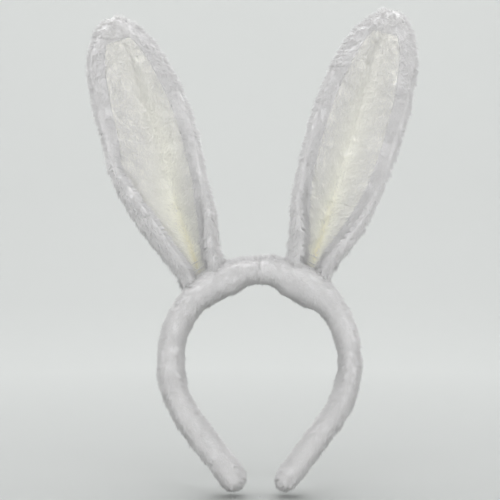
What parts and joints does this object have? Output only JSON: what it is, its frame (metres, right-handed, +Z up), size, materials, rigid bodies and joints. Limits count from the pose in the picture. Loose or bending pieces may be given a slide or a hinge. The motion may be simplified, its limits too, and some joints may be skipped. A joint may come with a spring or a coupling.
{
  "type": "animal ears headband",
  "caption": "Plush-covered spring headband with tall padded, wire-rimmed animal ears that tilt and fold; its legs spread to grip a head.",
  "frame": {"origin": "centre of the crown's circle, midway between the band's front and back, where the head goes", "axes": "+Z up as worn, towards the ears; +X to the right of someone facing it; -Y is the front, which the ears' open sides face"},
  "size_m": [0.2297, 0.0341, 0.3556],
  "materials": {
    "white_plush": "short lying plush pile",
    "inner_plush": "short cream plush, soft edged",
    "wadding": "loose polyester wadding",
    "seam_cloth": "knitted backing cloth, turned in at the seam",
    "thread": "twisted polyester thread",
    "cloth_tape": "woven cloth tape",
    "rim_wire": "soft drawn wire",
    "spring_strip": "moulded"
  },
  "bodies": {
    "crown": {"crown_cover": "white_plush", "crown_cover_seam": "thread", "crown_spring_strip": "spring_strip", "left_ear_anchor_stitches": "thread", "left_ear_hem": "white_plush", "left_ear_wire_tape": "cloth_tape", "right_ear_anchor_stitches": "thread", "right_ear_hem": "white_plush", "right_ear_wire_tape": "cloth_tape"},
    "left_leg": {"left_leg_cover": "white_plush", "left_leg_cover_seam": "thread", "left_leg_spring_strip": "spring_strip", "left_leg_tip_stitches": "thread"},
    "right_leg": {"right_leg_cover": "white_plush", "right_leg_cover_seam": "thread", "right_leg_spring_strip": "spring_strip", "right_leg_tip_stitches": "thread"},
    "left_ear_lower": {"left_ear_foot_gather": "white_plush", "left_ear_lower_back_plush": "white_plush", "left_ear_lower_border_plush": "white_plush", "left_ear_lower_inner_panel": "inner_plush", "left_ear_lower_padding": "wadding", "left_ear_lower_rim_seam": "seam_cloth", "left_ear_lower_rim_wire": "rim_wire", "left_ear_pleat_stitches": "thread"},
    "left_ear_upper": {"left_ear_upper_back_plush": "white_plush", "left_ear_upper_border_plush": "white_plush", "left_ear_upper_inner_panel": "inner_plush", "left_ear_upper_padding": "wadding", "left_ear_upper_rim_seam": "seam_cloth", "left_ear_upper_rim_wire": "rim_wire"},
    "right_ear_lower": {"right_ear_foot_gather": "white_plush", "right_ear_lower_back_plush": "white_plush", "right_ear_lower_border_plush": "white_plush", "right_ear_lower_inner_panel": "inner_plush", "right_ear_lower_padding": "wadding", "right_ear_lower_rim_seam": "seam_cloth", "right_ear_lower_rim_wire": "rim_wire", "right_ear_pleat_stitches": "thread"},
    "right_ear_upper": {"right_ear_upper_back_plush": "white_plush", "right_ear_upper_border_plush": "white_plush", "right_ear_upper_inner_panel": "inner_plush", "right_ear_upper_padding": "wadding", "right_ear_upper_rim_seam": "seam_cloth", "right_ear_upper_rim_wire": "rim_wire"}
  },
  "joints": [
    {"name": "left_leg_flex", "type": "hinge", "parent": "crown", "child": "left_leg", "pos_m": [-0.05797, 0, 0.02828], "axis": [0, 1, 0], "range_deg": [-2, 25], "stiffness_Nm_per_rad": 0.9},
    {"name": "right_leg_flex", "type": "hinge", "parent": "crown", "child": "right_leg", "pos_m": [0.05797, 0, 0.02828], "axis": [0, -1, 0], "range_deg": [-2, 25], "stiffness_Nm_per_rad": 0.9},
    {"name": "left_ear_tilt", "type": "hinge", "parent": "crown", "child": "left_ear_lower", "pos_m": [-0.04649, 0, 0.06815], "axis": [0.8261, 0, 0.5635], "range_deg": [-60, 45]},
    {"name": "left_ear_fold", "type": "hinge", "parent": "left_ear_lower", "child": "left_ear_upper", "pos_m": [-0.07661, -0.009, 0.16141], "axis": [0.9516, 0, 0.3074], "range_deg": [-30, 75]},
    {"name": "right_ear_tilt", "type": "hinge", "parent": "crown", "child": "right_ear_lower", "pos_m": [0.04, 0, 0.07216], "axis": [0.8746, 0, -0.4848], "range_deg": [-60, 45]},
    {"name": "right_ear_fold", "type": "hinge", "parent": "right_ear_lower", "child": "right_ear_upper", "pos_m": [0.06717, -0.009, 0.16631], "axis": [0.9608, 0, -0.2773], "range_deg": [-30, 75]}
  ]
}
